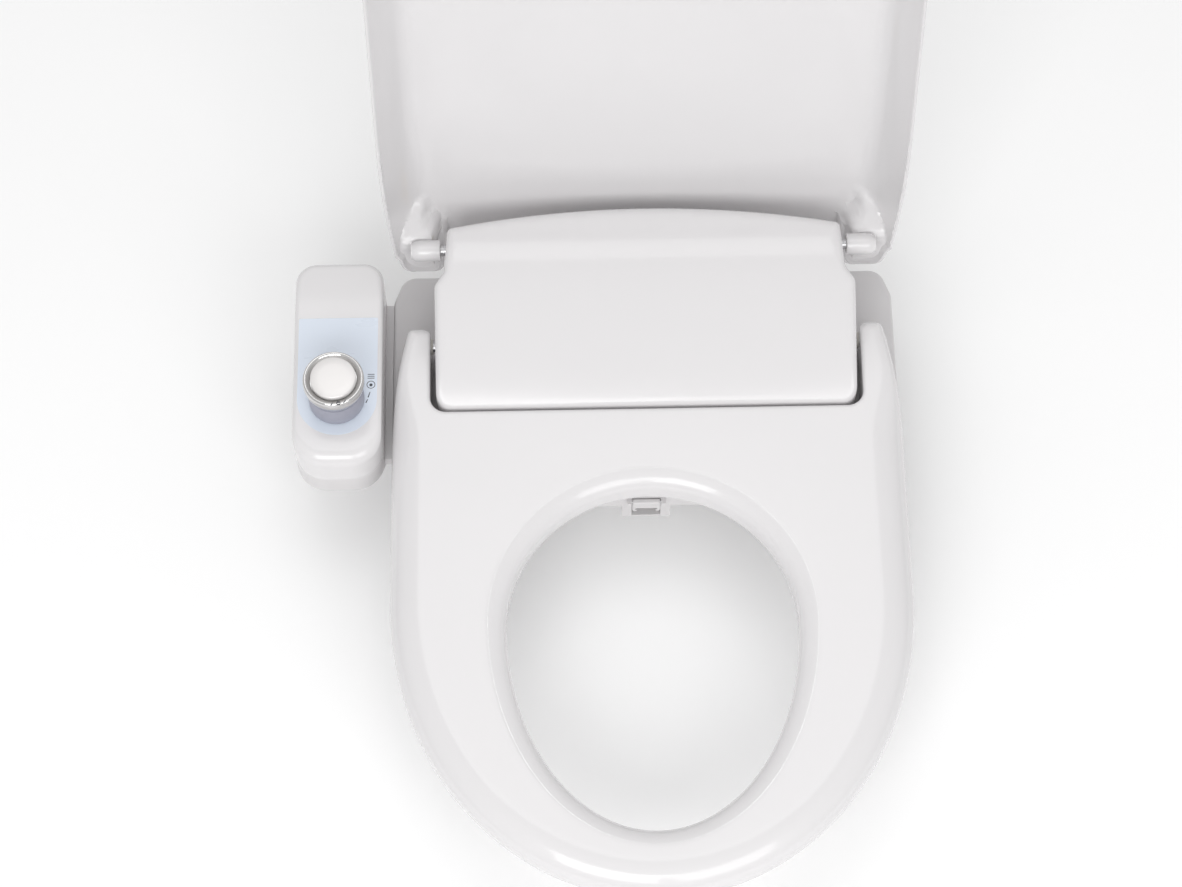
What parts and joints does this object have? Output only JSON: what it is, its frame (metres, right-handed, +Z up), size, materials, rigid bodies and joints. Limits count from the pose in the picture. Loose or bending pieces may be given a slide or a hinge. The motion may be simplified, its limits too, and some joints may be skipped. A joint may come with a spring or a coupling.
{
  "type": "electric bidet seat",
  "caption": "Washing toilet seat with heated hinged ring, lid, sliding spray wand, guard flap and a side control panel with a dial",
  "frame": {"origin": "midway between the two fixing studs, on the plane of the bowl's rim", "axes": "+Z up, -Y towards the front of the seat, +X to the right of someone who faces the open lid"},
  "size_m": [0.457, 0.6469, 0.6187],
  "materials": {
    "white_shell": "glossy warm white moulding",
    "grey_shell": "light grey moulding",
    "label_film": "pale blue printed film",
    "dial_grey": "satin grey moulding",
    "chrome_trim": "bright plated ring",
    "satin_cap": "satin silver cap",
    "rubber_pads": "soft grey rubber",
    "steel": "plain steel",
    "plate_plastic": "natural engineering plastic",
    "dark_plastic": "black moulding",
    "circuit_green": "circuit board",
    "hose_rubber": "flexible hose",
    "foil": "heater foil",
    "brass_fitting": "machined brass"
  },
  "bodies": {
    "base": {"mounting_plate": "plate_plastic", "fixing_studs": "steel", "base_chassis": "grey_shell", "chassis_feet": "rubber_pads", "housing_cover": "white_shell", "cover_screws": "steel", "seat_hinge_pins": "steel", "seat_dampers": "dark_plastic", "lid_hinge_pins": "steel", "lid_dampers": "dark_plastic", "wand_guide": "plate_plastic", "wand_motor": "steel", "motor_bracket": "steel", "gate_pin": "steel", "panel_top_shell": "white_shell", "panel_label": "label_film", "panel_lower_shell": "grey_shell", "bridge_screws": "steel", "panel_board": "circuit_green", "dial_encoder": "dark_plastic", "button_spring": "steel", "water_inlet": "brass_fitting", "inlet_filter": "plate_plastic", "solenoid_valve": "dark_plastic", "flow_meter": "plate_plastic", "inlet_hose": "hose_rubber", "water_manifold": "plate_plastic", "heater_tank": "plate_plastic", "heater_element": "steel", "outlet_hose": "hose_rubber", "spray_valve": "dark_plastic", "air_pump": "dark_plastic", "cord_gland": "rubber_pads", "power_supply": "circuit_green", "main_board": "circuit_green"},
    "seat": {"seat_top_shell": "white_shell", "seat_bottom_shell": "white_shell", "seat_heater_foil": "foil", "seat_screws": "steel", "seat_bumpers": "rubber_pads", "seat_hinge_bushes": "plate_plastic", "seat_occupancy_sensor": "dark_plastic"},
    "lid": {"lid_shell": "white_shell", "lid_hinge_bushes": "plate_plastic", "lid_bumpers": "rubber_pads"},
    "wand": {"spray_wand": "plate_plastic", "wand_tip": "plate_plastic"},
    "pinion": {"drive_pinion": "plate_plastic"},
    "gate": {"wand_gate": "grey_shell"},
    "dial": {"dial_body": "dial_grey", "dial_ring": "chrome_trim", "dial_cap": "satin_cap", "dial_shaft": "steel"},
    "button": {"release_button": "grey_shell"}
  },
  "joints": [
    {"name": "lid_hinge", "type": "hinge", "parent": "base", "child": "lid", "pos_m": [0, 0.0236, 0.0762], "axis": [-1, 0, 0], "range_deg": [-109.1, 0]},
    {"name": "seat_hinge", "type": "hinge", "parent": "base", "child": "seat", "pos_m": [0, -0.038, 0.038], "axis": [-1, 0, 0], "range_deg": [0, 100]},
    {"name": "wand_slide", "type": "slide", "parent": "base", "child": "wand", "axis": [0, -0.9659, -0.2588], "range_m": [0, 0.08]},
    {"name": "pinion_turn", "type": "hinge", "parent": "base", "child": "pinion", "pos_m": [0.0128, -0.07056, 0.01291], "axis": [0, -0.2588, 0.9659], "range_deg": [-5, 660]},
    {"name": "gate_hinge", "type": "hinge", "parent": "base", "child": "gate", "pos_m": [-0.0015, -0.1576, 0.0126], "axis": [-1, 0, 0], "range_deg": [0, 75]},
    {"name": "dial_turn", "type": "hinge", "parent": "base", "child": "dial", "pos_m": [-0.2295, -0.091, 0.09], "axis": [0, 0, 1], "range_deg": [-135, 135]},
    {"name": "release_button_push", "type": "slide", "parent": "base", "child": "button", "axis": [-1, 0, 0], "range_m": [0, 0.004], "stiffness_N_per_m": 800, "deforming": ["button_spring"]}
  ],
  "couplings": [
    {"joint": "pinion_turn", "follows": "wand_slide", "rad_per_m": 142.86}
  ]
}
